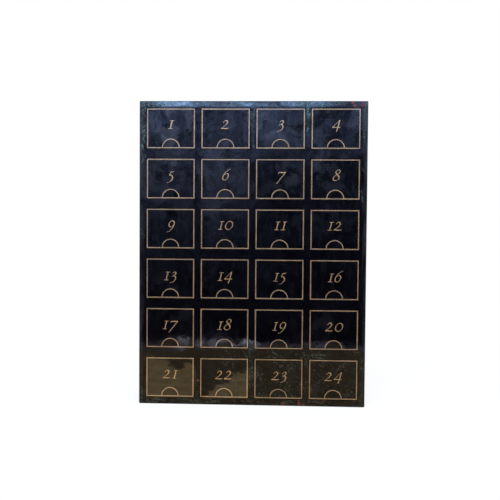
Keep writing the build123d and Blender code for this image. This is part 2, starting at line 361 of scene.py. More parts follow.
class CalendarStage(bpy.types.PropertyGroup):
    """Camera, floor and light."""

    lens: FloatProperty(
        name="Lens", description="Focal length in millimetres on a 36 mm wide sensor", default=55.0)
    camera_place: FloatVectorProperty(
        name="Camera place", description="Where the camera stands",
        default=(0.0449, -1.0509, 0.2449), subtype="XYZ", unit="LENGTH")
    camera_turn: FloatVectorProperty(
        name="Camera turn", description="Tilt up, roll and turn to the left, from looking along the Y axis",
        default=[math.radians(degrees) for degrees in (-2.176, 0.444, 2.714)],
        subtype="EULER", unit="ROTATION")
    floor_radius: length_value("Floor radius", "Radius of the floor", 0.60)
    floor_colour: colour_value("Floor", "Colour of the light that the floor throws back", (0.70, 0.43, 0.13))
    panel_distance: length_value(
        "Panel distance", "From the case to the shaded panel that its gloss mirrors", 2.2)
    key_power: power_value("Key lamp", "Power of the main soft lamp in front", 25.5)
    upper_power: power_value("Upper lamp", "Power of the blue lamp over the upper rows", 4.6)
    fill_power: power_value("Fill lamps", "Power of each lamp on the left and right", 9.0)
    rear_power: power_value("Rear lamp", "Power of the lamp behind", 24.0)
    sky_strength: FloatProperty(name="Sky", description="Strength of the light from all round", default=0.45)


# Helpers for modelling

def select_only(*pieces):
    """Makes objects the only selected ones, and the first of them the active one."""
    bpy.ops.object.select_all(action="DESELECT")
    for piece in pieces:
        piece.select_set(True)
    bpy.context.view_layer.objects.active = pieces[0]


def settle(*pieces):
    """Puts the place, turn and scale of objects into their meshes."""
    select_only(*pieces)
    bpy.ops.object.transform_apply(location=True, rotation=True, scale=True)


def name_piece(piece, name):
    piece.name = name
    piece.data.name = name
    return piece


def copy_of(blank, name):
    """A copy of an object with a mesh of its own."""
    piece = blank.copy()
    piece.data = blank.data.copy()
    bpy.context.scene.collection.objects.link(piece)
    return name_piece(piece, name)


def join(pieces, name):
    """Joins objects into the first of them, at the origin."""
    settle(*pieces)
    if len(pieces) > 1:
        bpy.ops.object.join()
    return name_piece(bpy.context.view_layer.objects.active, name)


def delete(pieces):
    select_only(*pieces)
    bpy.ops.object.delete()


def edit(piece):
    """Opens an object in edit mode with all of its mesh selected."""
    select_only(piece)
    bpy.ops.object.mode_set(mode="EDIT")
    bpy.ops.mesh.select_mode(type="FACE")
    bpy.ops.mesh.select_all(action="SELECT")


def close_edit():
    """Turns all faces outwards and goes back to object mode."""
    bpy.ops.mesh.select_all(action="SELECT")
    bpy.ops.mesh.normals_make_consistent(inside=False)
    bpy.ops.object.mode_set(mode="OBJECT")


def require_closed(piece):
    """Stops the script if a mesh has an open or doubled edge."""
    uses = {}
    for polygon in piece.data.polygons:
        for key in polygon.edge_keys:
            uses[key] = uses.get(key, 0) + 1
    if not uses or any(count != 2 for count in uses.values()):
        raise RuntimeError(f"the mesh of {piece.name} is not closed")


def dress(piece, finish):
    """Gives an object one material."""
    if not piece.material_slots:
        piece.data.materials.append(finish)
    for slot in piece.material_slots:
        slot.material = finish


def dress_nodes(names, finish):
    for name in names:
        dress(frame["nodes"][name], finish)


def finish_piece(piece, body, finish):
    """Checks a new piece and ties it to its body and its finish, given by name."""
    require_closed(piece)
    dress(piece, bpy.data.materials[finish])
    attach(piece, body)


def put_on_fronts(blank, ending, finish):
    """Puts a copy of a blank on every drawer front, its origin on the lower edge, and deletes the blank."""
    for drawer in DRAWERS:
        low, high = FRONTS[drawer]
        piece = copy_of(blank, drawer + ending)
        piece.location = ((low.x + high.x) / 2, 0, low.z)
        settle(piece)
        finish_piece(piece, drawer, finish)
    delete([blank])


# Helpers for finishes

def node(tree, kind, inputs=None, **settings):
    """Adds a shader node. An input that is a socket is linked, any other is set."""
    made = tree.nodes.new("ShaderNode" + kind)
    for name, value in settings.items():
        setattr(made, name, value)
    for name, value in (inputs or {}).items():
        feed(tree, made.inputs[name], value)
    return made


def feed(tree, socket, value):
    """Links another socket to this one, or sets it."""
    if isinstance(value, bpy.types.NodeSocket):
        tree.links.new(value, socket)
    else:
        socket.default_value = value


def math_node(tree, operation, first, second=0.0):
    return node(tree, "Math", {0: first, 1: second}, operation=operation).outputs[0]


def vector_node(tree, operation, first, second=(0, 0, 0)):
    return node(tree, "VectorMath", {0: first, 1: second}, operation=operation).outputs["Vector"]


def times(tree, product, *factors):
    """The product of several values."""
    for factor in factors:
        product = math_node(tree, "MULTIPLY", product, factor)
    return product


def axes(tree, coordinates):
    """Coordinates split into outputs named X, Y and Z."""
    return node(tree, "SeparateXYZ", {"Vector": coordinates}).outputs


def spread(tree, value, low, high, to_low=0.0, to_high=1.0, ends="SMOOTHSTEP"):
    """Maps a value from one range to another, with soft ends or in a straight line."""
    inputs = {"Value": value, "From Min": low, "From Max": high, "To Min": to_low, "To Max": to_high}
    return node(tree, "MapRange", inputs, interpolation_type=ends).outputs["Result"]


def speckle(tree, coordinates, scale, detail=2.0, roughness=0.5):
    """A random pattern around one half."""
    inputs = {"Vector": coordinates, "Scale": scale, "Detail": detail, "Roughness": roughness}
    return node(tree, "TexNoise", inputs).outputs["Fac"]


def stretched(tree, coordinates, scale):
    """Object coordinates scaled along each axis, for grain and brush marks."""
    return node(tree, "Mapping", {"Vector": coordinates, "Scale": scale}).outputs["Vector"]


def moved(tree, coordinates, shift):
    """Object coordinates moved by a fixed amount."""
    return vector_node(tree, "ADD", coordinates, shift)


def leaned(tree, surface, lean):
    """A surface direction that leans over."""
    return vector_node(tree, "NORMALIZE", vector_node(tree, "ADD", surface, lean))


def tint(tree, factor, first, second):
    """A colour between two others."""
    mix = node(tree, "Mix", {"Factor": factor}, data_type="RGBA")
    sockets = {entry.identifier: entry for entry in list(mix.inputs) + list(mix.outputs)}
    feed(tree, sockets["A_Color"], first)
    feed(tree, sockets["B_Color"], second)
    return sockets["Result_Color"]


def shade(colour, factor=1.0):
    """A colour made darker or lighter, as a shader takes it."""
    return tuple(min(1.0, part * factor) for part in colour[:3]) + (1.0,)


def mottled(tree, pattern, low, high, colour, dark, light):
    """A colour that varies with a pattern, from a darker to a lighter share of itself."""
    return tint(tree, spread(tree, pattern, low, high), shade(colour, dark), shade(colour, light))


def bump(tree, height, distance, under=None):
    inputs = {"Height": height, "Distance": distance, "Strength": 1.0}
    if under is not None:
        inputs["Normal"] = under
    return node(tree, "Bump", inputs).outputs["Normal"]


def new_finish(name):
    """A new material, its node tree, its main shader and its Object coordinates."""
    finish = bpy.data.materials.new(name)
    finish.use_nodes = True
    tree = finish.node_tree
    shader = next(entry for entry in tree.nodes if entry.type == "BSDF_PRINCIPLED")
    coordinates = node(tree, "TexCoord").outputs["Object"]
    return finish, tree, shader, coordinates


def bare_finish(name):
    """A new material without a shader, its node tree and its Object coordinates."""
    finish = bpy.data.materials.new(name)
    finish.use_nodes = True
    tree = finish.node_tree
    tree.nodes.clear()
    return finish, tree, node(tree, "TexCoord").outputs["Object"]


def wire(tree, shader, base, rough, surface, **levels):
    """Links colour, roughness and surface to the main shader, and sets its even values."""
    for name, socket in (("Base Color", base), ("Roughness", rough), ("Normal", surface)):
        tree.links.new(socket, shader.inputs[name])
    for name, value in levels.items():
        shader.inputs[name.replace("_", " ")].default_value = value


# Finishes

def wavy_gloss(tree, coordinates):
    """The slightly wavy surface of the gloss print, with ripples and a fine orange peel on it."""
    surface = None
    for scale, detail, depth in GLOSS_WAVES:
        surface = bump(tree, speckle(tree, coordinates, scale, detail), depth, surface)
    return surface


def gloss_sheen(tree, coordinates, limits):
    """Roughness of the gloss print, between two limits."""
    return spread(tree, speckle(tree, coordinates, 60.0, 5.0, 0.6), 0.3, 0.7, *limits)


def seated(tree, coordinates, surface):
    """Tips each drawer front by a fraction of a degree, as separate fronts never sit quite in one plane."""
    counted = moved(tree, coordinates, (-COLUMN_XS[0] + PITCH_X / 2 + TIP_SHIFT * PITCH_X, 0, 0))
    # A cell as deep as this holds the whole of a front
    cell = (PITCH_X, 10.0, PITCH_Z)
    whole = vector_node(tree, "FLOOR", vector_node(tree, "DIVIDE", counted, cell))
    chance = node(tree, "TexWhiteNoise", {"Vector": whole}, noise_dimensions="3D").outputs["Color"]
    centred = vector_node(tree, "SUBTRACT", chance, (0.5, 0.5, 0.5))
    return leaned(tree, surface, vector_node(tree, "MULTIPLY", centred, FRONT_TIP))


def upper_edge(tree, coordinates):
    """1 in the middle of the bar above the top row of drawers, less at its edges, 0 below it."""
    height = axes(tree, coordinates)["Z"]
    rise = spread(tree, height, CASE_H - TOP_BAR, CASE_H - 0.5 * TOP_BAR)
    fall = spread(tree, height, CASE_H - 0.25 * TOP_BAR, CASE_H, 1.0, 0.7)
    return times(tree, rise, fall)


def along_the_bar(tree, coordinates, left, right, right_end):
    """1 along most of the upper bar, falling to other values at its left and right ends."""
    across = axes(tree, coordinates)["X"]
    return times(tree, spread(tree, across, 0.06, right_end, 1.0, right),
                 spread(tree, across, -CASE_W / 2 + 0.010, -CASE_W / 2 + 0.036, left, 1.0))


def rolled_edge(tree, coordinates, surface):
    """Leans the surface back on the upper bar of the face, where the print is drawn over the edge."""
    drifted = moved(tree, coordinates, TOP_BAR_SHIFT)
    uneven = spread(tree, speckle(tree, drifted, 18.0, 3.0), 0.38, 0.62, 0.02, 0.16)
    ends = along_the_bar(tree, coordinates, 0.35, 0.45, CASE_W / 2 - 0.02)
    lean = times(tree, upper_edge(tree, coordinates), uneven, ends)
    return leaned(tree, surface, node(tree, "CombineXYZ", {"Z": lean}).outputs["Vector"])


def frosted_edge(tree, coordinates, base):
    """Painted reflection: a pale blue sky sheen in patches along the upper bar of the face, painted into the
    base colour.
    """
    wide = stretched(tree, moved(tree, coordinates, TOP_BAR_SHIFT), (0.6, 1.0, 1.6))
    patches = spread(tree, speckle(tree, wide, 24.0, 5.0, 0.62), 0.40, 0.62)
    sheen_grain = spread(tree, speckle(tree, coordinates, 240.0, 3.0, 0.6), 0.40, 0.60, 0.65, 1.15)
    ends = along_the_bar(tree, coordinates, 0.15, 0.06, CASE_W / 2 - 0.03)
    painted_sky = times(tree, upper_edge(tree, coordinates), times(tree, patches, sheen_grain), ends)
    return tint(tree, painted_sky, base, PAINTED_SKY_BLUE)


def smudges(tree, coordinates, base, strength):
    """Painted reflection: a faint hazy grey veil in blotches and upright streaks on the gloss, stronger
    towards the top.
    """
    blotches = spread(tree, speckle(tree, coordinates, 34.0, 5.0, 0.6), 0.50, 0.60)
    field = spread(tree, speckle(tree, coordinates, 9.0, 1.0), 0.42, 0.58)
    height = axes(tree, coordinates)["Z"]
    rising = spread(tree, height, 0.62 * CASE_H, 0.86 * CASE_H, 0.22, 1.0)
    upright = stretched(tree, coordinates, (5.0, 1.0, 1.5))
    streaks = spread(tree, speckle(tree, upright, 30.0, 5.0, 0.66), 0.48, 0.66, 0.0, 0.30)
    climbing = spread(tree, height, 0.25 * CASE_H, 0.86 * CASE_H, 0.30, 1.0)
    where = math_node(tree, "MAXIMUM", times(tree, blotches, field, rising), times(tree, streaks, climbing))
    return tint(tree, times(tree, where, strength), base, PAINTED_HAZE_GREY)


def rubbed_sides(tree, coordinates, base):
    """Painted reflection: pale upright streaks along the left and right edges of the face."""
    aside = math_node(tree, "ABSOLUTE", axes(tree, coordinates)["X"])
    outward = spread(tree, aside, SIDE_BAR_X - 0.003, SIDE_BAR_X + 0.003)
    upright = stretched(tree, coordinates, (9.0, 1.0, 1.0))
    streaks = spread(tree, speckle(tree, upright, 24.0, 4.0, 0.6), 0.36, 0.64)
    return tint(tree, times(tree, outward, streaks), base, PAINTED_STREAK_GREY)


def flecks(tree, coordinates, base):
    """Painted reflection: fine olive flecks of mirrored ground on the right of the bottom row."""
    place = axes(tree, coordinates)
    low = spread(tree, place["Z"], ROW_ZS[1] - 0.002, ROW_ZS[1] + 0.008, 1.0, 0.0)
    right = spread(tree, place["X"], -0.10, 0.03, 0.2, 1.0)
    grains = spread(tree, speckle(tree, coordinates, 270.0, 4.0, 0.7), 0.53, 0.65)
    groups = spread(tree, speckle(tree, coordinates, 40.0, 2.0), 0.44, 0.60, 0.15, 1.0)
    return tint(tree, times(tree, low, right, groups, grains), base, PAINTED_GROUND_OLIVE)


def gloss_navy(name, colour, veil_strength):
    """Gloss navy print on board, a little uneven in colour and sheen, with more or less of a painted hazy
    reflection and painted ground flecks.
    """
    finish, tree, shader, coordinates = new_finish(name)
    base = mottled(tree, speckle(tree, coordinates, 38.0, 4.0, 0.6), 0.35, 0.65, colour, 0.7, 1.35)
    # Painted reflection: a hazy veil and olive flecks of mirrored ground over the navy
    base = flecks(tree, coordinates, smudges(tree, coordinates, base, veil_strength))
    return finish, tree, shader, coordinates, base


def front_gloss(colour):
    """The gloss navy of the drawer fronts, each tipped a little."""
    finish, tree, shader, coordinates, base = gloss_navy("drawer_gloss", colour, FRONT_HAZE_VEIL)
    surface = seated(tree, coordinates, wavy_gloss(tree, coordinates))
    sheen = gloss_sheen(tree, coordinates, GLOSS_ROUGHNESS)
    wire(tree, shader, base, sheen, surface, Specular_IOR_Level=GLOSS_LEVEL)
    return finish


def face_gloss(colour):
    """The gloss navy of the printed face, rolled back along the top, with a painted blue sky reflection
    there and painted pale reflection streaks at the sides.
    """
    finish, tree, shader, coordinates, base = gloss_navy("face_gloss", colour, FACE_HAZE_VEIL)
    # Painted reflection: a blue sky sheen along the top bar and pale streaks at the sides, in the base
    # colour
    base = frosted_edge(tree, coordinates, rubbed_sides(tree, coordinates, base))
    surface = rolled_edge(tree, coordinates, wavy_gloss(tree, coordinates))
    sheen = gloss_sheen(tree, coordinates, GLOSS_ROUGHNESS)
    wire(tree, shader, base, sheen, surface, Specular_IOR_Level=GLOSS_LEVEL)
    return finish


def edge_wear(tree, coordinates):
    """1 along the outer edges of the case, falling to 0 a few millimetres away."""
    low, high = Vector(CAD_BOX[0]), Vector(CAD_BOX[1])
    middle, half = (low + high) / 2, (high - low) / 2
    size = vector_node(tree, "ABSOLUTE", vector_node(tree, "SUBTRACT", coordinates, middle))
    inward = axes(tree, vector_node(tree, "SUBTRACT", half, size))
    total = math_node(tree, "ADD", math_node(tree, "ADD", inward["X"], inward["Y"]), inward["Z"])
    widest = math_node(tree, "MAXIMUM", math_node(tree, "MAXIMUM", inward["X"], inward["Y"]), inward["Z"])
    distance = math_node(tree, "SUBTRACT", total, widest)
    chipped = times(tree, speckle(tree, coordinates, 160.0, 4.0, 0.7), 0.005)
    return spread(tree, math_node(tree, "ADD", distance, chipped), 0.0022, 0.0042, 1.0, 0.0)


def case_lacquer(colour):
    """Sprayed navy lacquer over fibreboard, a touch lighter along the edges."""
    finish, tree, shader, coordinates = new_finish("case_lacquer")
    body = mottled(tree, speckle(tree, coordinates, 22.0, 5.0, 0.6), 0.35, 0.65, colour, 0.75, 1.3)
    rubbed = tint(tree, times(tree, edge_wear(tree, coordinates), 0.6), body, shade(colour, 2.6))
    sheen = spread(tree, speckle(tree, coordinates, 90.0, 5.0, 0.65), 0.3, 0.7, 0.40, 0.55)
    peel = bump(tree, speckle(tree, coordinates, 380.0, 2.0), 0.00003)
    wire(tree, shader, rubbed, sheen, peel, Specular_IOR_Level=LACQUER_LEVEL)
    return finish


def gold_foil(name, colour):
    """Satin gold foil with a fine grain and slightly uneven tone, under a clear coat."""
    finish, tree, shader, coordinates = new_finish(name)
    drift = speckle(tree, coordinates, 70.0, 3.0)
    grain = speckle(tree, coordinates, 2600.0, 2.0)
    tone = math_node(tree, "ADD", times(tree, drift, 0.7), times(tree, grain, 0.3))
    base = mottled(tree, tone, 0.35, 0.65, colour, 0.78, 1.18)
    rough = spread(tree, grain, 0.3, 0.7, 0.34, 0.5)
    wire(tree, shader, base, rough, bump(tree, grain, 0.00001),
         Metallic=0.45, Coat_Weight=1.0, Coat_Roughness=0.06, Coat_IOR=1.7)
    return finish


def print_ink(name, dark, colour, low, scale):
    """Gloss print that varies from dark to a lighter colour, with another lighter colour near the foot."""
    finish, tree, shader, coordinates = new_finish(name)
    raised = spread(tree, axes(tree, coordinates)["Z"], ROW_ZS[1], ROW_ZS[1] + 0.03)
    light = tint(tree, raised, shade(low), shade(colour))
    change = spread(tree, speckle(tree, coordinates, scale, 3.0, 0.6), 0.42, 0.66)
    sheen = gloss_sheen(tree, coordinates, INK_ROUGHNESS)
    wire(tree, shader, tint(tree, change, dark, light), sheen, wavy_gloss(tree, coordinates),
         Specular_IOR_Level=GLOSS_LEVEL)
    return finish


def within(tree, value, pitch, start):
    """A coordinate counted from the start of its own row or column."""
    return math_node(tree, "FLOORED_MODULO", math_node(tree, "SUBTRACT", value, start), pitch)


def ply_lines(tree, coordinates):
    """1 on the dark plies that show along the upper edges of the tray walls."""
    place = axes(tree, coordinates)
    across = within(tree, place["X"], PITCH_X, TRAY_LOW.x)
    up = within(tree, place["Z"], PITCH_Z, ROW_ZS[0])
    facing = axes(tree, node(tree, "NewGeometry").outputs["True Normal"])["Z"]
    upward = math_node(tree, "GREATER_THAN", facing, 0.7)
    high = math_node(tree, "GREATER_THAN", up, FRONT_H / 2)
    plies = spread(tree, math_node(tree, "PINGPONG", across, 0.0005), 0.0002, 0.0003, 0.0, 0.75)
    return times(tree, plies, times(tree, upward, high))


def plywood(colour):
    """Sanded birch plywood: long grain, darker pores, and ply lines along the upper edges of the walls."""
    finish, tree, shader, coordinates = new_finish("tray_plywood")
    grain = speckle(tree, stretched(tree, coordinates, (260.0, 14.0, 260.0)), 1.0, 4.0, 0.6)
    figure = speckle(tree, stretched(tree, coordinates, (40.0, 5.0, 40.0)), 1.0, 2.0)
    pores = speckle(tree, stretched(tree, coordinates, (1500.0, 60.0, 1500.0)), 1.0, 1.0)
    base = mottled(tree, figure, 0.3, 0.7, colour, 0.86, 1.12)
    base = tint(tree, spread(tree, grain, 0.45, 0.75, 0.0, 0.55), base, shade(colour, 0.62))
    base = tint(tree, spread(tree, pores, 0.66, 0.8, 0.0, 0.5), base, shade(colour, 0.4))
    base = tint(tree, ply_lines(tree, coordinates), base, shade(colour, 0.45))
    rough = spread(tree, grain, 0.3, 0.7, 0.5, 0.68)
    wire(tree, shader, base, rough, bump(tree, grain, 0.00006), Specular_IOR_Level=PLYWOOD_LEVEL)
    return finish


def fibreboard(colour):
    """Bare medium fibreboard, felted and flecked."""
    finish, tree, shader, coordinates = new_finish("bare_fibreboard")
    fleck = speckle(tree, coordinates, 900.0, 5.0, 0.7)
    body = mottled(tree, speckle(tree, coordinates, 30.0, 3.0), 0.35, 0.65, colour, 0.85, 1.12)
    flecked = tint(tree, spread(tree, fleck, 0.5, 0.72, 0.0, 0.6), body, shade(colour, 0.5))
    rough = spread(tree, fleck, 0.3, 0.7, 0.72, 0.9)
    wire(tree, shader, flecked, rough, bump(tree, fleck, 0.00008), Specular_IOR_Level=FIBREBOARD_LEVEL)
    return finish


def hardboard(colour):
    """Smooth brown hardboard with fine pressed fibres."""
    finish, tree, shader, coordinates = new_finish("back_hardboard")
    fibres = speckle(tree, stretched(tree, coordinates, (520.0, 520.0, 160.0)), 1.0, 4.0, 0.7)
    body = mottled(tree, speckle(tree, coordinates, 45.0, 5.0, 0.65), 0.3, 0.7, colour, 0.86, 1.14)
    flecked = tint(tree, spread(tree, fibres, 0.48, 0.72, 0.0, 0.7), body, shade(colour, 0.5))
    rough = spread(tree, fibres, 0.3, 0.7, 0.38, 0.58)
    wire(tree, shader, flecked, rough, bump(tree, fibres, 0.00005), Specular_IOR_Level=HARDBOARD_LEVEL)
    return finish


def pin_steel(colour):
    """Bright drawn steel with fine marks."""
    finish, tree, shader, coordinates = new_finish("pin_steel")
    marks = speckle(tree, stretched(tree, coordinates, (5000.0, 600.0, 5000.0)), 1.0, 3.0)
    base = mottled(tree, marks, 0.3, 0.7, colour, 0.75, 1.15)
    rough = spread(tree, marks, 0.3, 0.7, 0.22, 0.42)
    wire(tree, shader, base, rough, bump(tree, marks, 0.00001), Metallic=1.0)
    return finish


class CALENDAR_OT_finishes(bpy.types.Operator):
    """Make the finishes and put them on the boards, drawers and fasteners"""

    bl_idname = "calendar.finishes"
    bl_label = "Finishes"

    def execute(self, context):
        boards = context.scene.calendar_finish
        leaf = context.scene.calendar_print
        gold = context.scene.calendar_gold
        gold_foil("line_foil", gold.line_colour)
        gold_foil("number_foil", gold.number_colour)
        berry = leaf.berry_colour
        print_ink("evergreen_ink", DARK_NEEDLE, leaf.needle_colour, leaf.low_colour, NEEDLE_PATTERN)
        print_ink("berry_ink", shade(berry, 0.5), berry, berry, BERRY_PATTERN)
        dress_nodes(["printed_face"], face_gloss(boards.navy))
        dress_nodes([drawer + "_front" for drawer in DRAWERS], front_gloss(boards.navy))
        dress_nodes([drawer + "_tray" for drawer in DRAWERS], plywood(boards.plywood))
        dress_nodes(CASE_BOARDS, case_lacquer(boards.case_navy))
        dress_nodes(INNER_BOARDS, fibreboard(boards.fibreboard))
        dress_nodes(["back_panel"], hardboard(boards.hardboard))
        dress_nodes(FASTENERS, pin_steel(boards.steel))
        return {"FINISHED"}


# Finger tabs, gold lines and numbers

def soften(piece, width):
    """Bevels the sharp edges of foil or paper."""
    select_only(piece)
    soft = piece.modifiers.new("soft edge", "BEVEL")
    soft.width = width
    soft.segments = 1
    soft.limit_method = "ANGLE"
    soft.angle_limit = BEVEL_ANGLE
    bpy.ops.object.modifier_apply(modifier=soft.name)


def half_moon_tab(tab, gold):
    """The tab in a finger hole of a drawer front whose lower edge is centred on the origin."""
    bpy.ops.mesh.primitive_circle_add(
        vertices=TAB_SIDES, radius=tab.radius, fill_type="NGON", rotation=(math.pi / 2 + tab.lean, 0, 0),
        location=(0, FACE_Y + tab.depth, gold.arc_rise))
    moon = bpy.context.active_object
    settle(moon)
    edit(moon)
    bpy.ops.mesh.bisect(plane_co=(0, 0, tab.foot), plane_no=(0, 0, -1), clear_outer=True)
    bpy.ops.mesh.select_all(action="SELECT")
    bpy.ops.mesh.extrude_region_move(TRANSFORM_OT_translate={"value": (0, tab.thickness, 0)})
    close_edit()
    soften(moon, tab.crease)
    return name_piece(moon, "tab_blank")


def line_ring(gold):
    """The gold line round a drawer front whose lower edge is centred on the origin."""
    bpy.ops.mesh.primitive_plane_add(
        size=1.0, location=(0, FACE_Y, FRONT_H / 2), rotation=(math.pi / 2, 0, 0))
    ring = bpy.context.active_object
    ring.scale = (FRONT_W - 2 * gold.edge_margin, FRONT_H - 2 * gold.edge_margin, 1.0)
    settle(ring)
    edit(ring)
    bpy.ops.mesh.inset(thickness=gold.line_width, depth=0.0)
    bpy.ops.mesh.delete(type="FACE")
    bpy.ops.mesh.select_all(action="SELECT")
    bpy.ops.mesh.extrude_region_move(TRANSFORM_OT_translate={"value": (0, -gold.foil_height, 0)})
    close_edit()
    return ring


def half_circle(gold):
    """The gold half circle over the finger hole, standing on the line."""
    middle = gold.arc_radius + gold.arc_width / 2
    line_top = gold.edge_margin + gold.line_width
    foot = math.asin((line_top - gold.arc_rise) / middle)
    place = (middle * math.cos(foot), FACE_Y - gold.foil_height / 2, gold.arc_rise + middle * math.sin(foot))
    bpy.ops.mesh.primitive_plane_add(size=1.0, location=place, rotation=(0, -foot, 0))
    arc = bpy.context.active_object
    arc.scale = (gold.arc_width, gold.foil_height, 1.0)
    settle(arc)
    edit(arc)
    bpy.ops.mesh.spin(
        steps=ARC_STEPS, angle=math.pi - 2 * foot, center=(0, FACE_Y, gold.arc_rise), axis=(0, 1, 0))
    bpy.ops.mesh.select_all(action="SELECT")
    bpy.ops.mesh.remove_doubles(threshold=MERGE_DISTANCE)
    close_edit()
    return arc


def pen_width(before, after, gold):
    """Half width of a broad pen's stroke that runs from one point to another."""
    run = after - before
    slope = math.atan2(run.z, run.x) - gold.pen_angle
    return gold.pen_thin + (gold.pen_broad - gold.pen_thin) * abs(math.sin(slope))


def draw_stroke(stroke, gold):
    """One pen stroke as a round bar along its points."""
    bpy.ops.curve.primitive_bezier_curve_add(location=(0, 0, 0))
    drawn = bpy.context.active_object
    pen = drawn.data
    pen.splines.clear()
    pen.dimensions = "3D"
    pen.bevel_depth = 1.0
    pen.bevel_resolution = PEN_ROUNDNESS
    pen.resolution_u = PEN_STEPS
    pen.use_fill_caps = True
    closed = stroke[0][:2] == stroke[-1][:2]
    points = stroke[:-1] if closed else stroke
    slant, size = gold.number_slant, gold.number_height
    places = [Vector((across + slant * up, 0, up)) * size for across, up, _ in points]
    last = len(points) - 1
    line = pen.splines.new("BEZIER")
    line.bezier_points.add(last)
    line.use_cyclic_u = closed
    line.radius_interpolation = "CARDINAL"
    for index, point in enumerate(line.bezier_points):
        before = places[index - 1] if closed or index else places[0]
        after = places[(index + 1) % len(places)] if closed or index < last else places[last]
        point.co = places[index]
        point.radius = pen_width(before, after, gold) * points[index][2]
        point.handle_left_type = "AUTO"
        point.handle_right_type = "AUTO"
    select_only(drawn)
    bpy.ops.object.convert(target="MESH")
    drawn = bpy.context.active_object
    edit(drawn)
    bpy.ops.mesh.remove_doubles(threshold=MERGE_DISTANCE)
    close_edit()
    return drawn


def draw_digit(digit, gold):
    """One digit as pen strokes pressed flat on the face, its base line on the origin."""
    strokes = DIGITS[digit][1]
    drawn = join([draw_stroke(stroke, gold) for stroke in strokes], "digit_" + digit)
    thickest = max(vertex.co.y for vertex in drawn.data.vertices)
    drawn.scale = (1.0, gold.foil_height / (2 * thickest), 1.0)
    drawn.location = (0, FACE_Y - gold.foil_height / 2, 0)
    settle(drawn)
    bpy.ops.object.shade_smooth_by_angle(angle=SMOOTH_ANGLE)
    return drawn


def set_number(drawer, blanks, gold):
    """The number of one drawer, from copies of the drawn digits."""
    low, high = FRONTS[drawer]
    number = int(drawer.split("_")[1])
    widths = [DIGITS[digit][0] for digit in str(number)]
    pen = (low.x + high.x) / 2 - sum(widths) * gold.number_height / 2 + NUMBER_SHIFTS.get(number, 0.0)
    row = (number - 1) // len(COLUMN_XS)
    base = (low.z + high.z) / 2 - gold.number_drop - ROW_NUMBER_DROPS[row]
    figures = []
    for digit, width in zip(str(number), widths):
        figure = copy_of(blanks[digit], drawer + "_figure")
        figure.location = (pen, 0, base)
        figures.append(figure)
        pen += width * gold.number_height
    return join(figures, drawer + "_number")


class CALENDAR_OT_finger_tabs(bpy.types.Operator):
    """Close every finger hole with its half-moon tab of printed paper"""

    bl_idname = "calendar.finger_tabs"
    bl_label = "Finger tabs"

    def execute(self, context):
        blank = half_moon_tab(context.scene.calendar_tab, context.scene.calendar_gold)
        put_on_fronts(blank, "_finger_tab", "drawer_gloss")
        return {"FINISHED"}


class CALENDAR_OT_gold_lines(bpy.types.Operator):
    """Draw the gold line and half circle on every drawer front"""

    bl_idname = "calendar.gold_lines"
    bl_label = "Gold lines"

    def execute(self, context):
        gold = context.scene.calendar_gold
        blank = join([line_ring(gold), half_circle(gold)], "gold_line_blank")
        soften(blank, gold.foil_bevel)
        put_on_fronts(blank, "_gold_line", "line_foil")
        return {"FINISHED"}


class CALENDAR_OT_numbers(bpy.types.Operator):
    """Draw the number on every drawer front"""

    bl_idname = "calendar.numbers"
    bl_label = "Numbers"

    def execute(self, context):
        gold = context.scene.calendar_gold
        blanks = {digit: draw_digit(digit, gold) for digit in DIGITS}
        for drawer in DRAWERS:
            finish_piece(set_number(drawer, blanks, gold), drawer, "number_foil")
        delete(list(blanks.values()))
        return {"FINISHED"}


# Evergreen print

def draw_needle(leaf):
    """One needle of unit length along X, pressed flat on the face, its foot on the origin."""
    bpy.ops.mesh.primitive_circle_add(
        vertices=NEEDLE_SIDES, radius=0.5, fill_type="NGON", location=(0.5, 0, 0),
        rotation=(math.pi / 2, 0, 0))
    needle = bpy.context.active_object
    needle.scale = (1.0, leaf.needle_width / leaf.needle_length, 1.0)
    settle(needle)
    edit(needle)
    bpy.ops.mesh.extrude_region_move(TRANSFORM_OT_translate={"value": (0, -leaf.ink_height, 0)})
    bpy.ops.transform.resize(value=NEEDLE_TAPER)
    close_edit()
    return name_piece(needle, "needle")


def draw_twig(leaf, needle, chance, name):
    """A twig along X: a stem and two rows of needles that shorten and close up towards the tip."""
    parts = []
    for index in range(leaf.needle_pairs):
        along = (index + 0.5) / leaf.needle_pairs
        for side in (-1, 1):
            part = copy_of(needle, "needle_copy")
            size = leaf.needle_length * (1.0 - TIP_SHORTENING * along) * chance.uniform(*NEEDLE_LENGTHS)
            drift = chance.uniform(-ANGLE_DRIFT, ANGLE_DRIFT)
            angle = math.radians(NEEDLE_ANGLE - TIP_CLOSING * along + drift)
            start = along + chance.uniform(-NEEDLE_DRIFT, NEEDLE_DRIFT)
            part.location = (start * leaf.twig_length, FACE_Y, 0)
            part.rotation_euler = (0, -side * angle, 0)
            part.scale = (size, chance.uniform(*NEEDLE_HEIGHTS), leaf.needle_length)
            parts.append(part)
    stem = copy_of(needle, "stem_copy")
    stem.location = (STEM_START * leaf.twig_length, FACE_Y, 0)
    stem.scale = (leaf.twig_length * STEM_LENGTH, STEM_HEIGHT, leaf.needle_length)
    return join(parts + [stem], name)


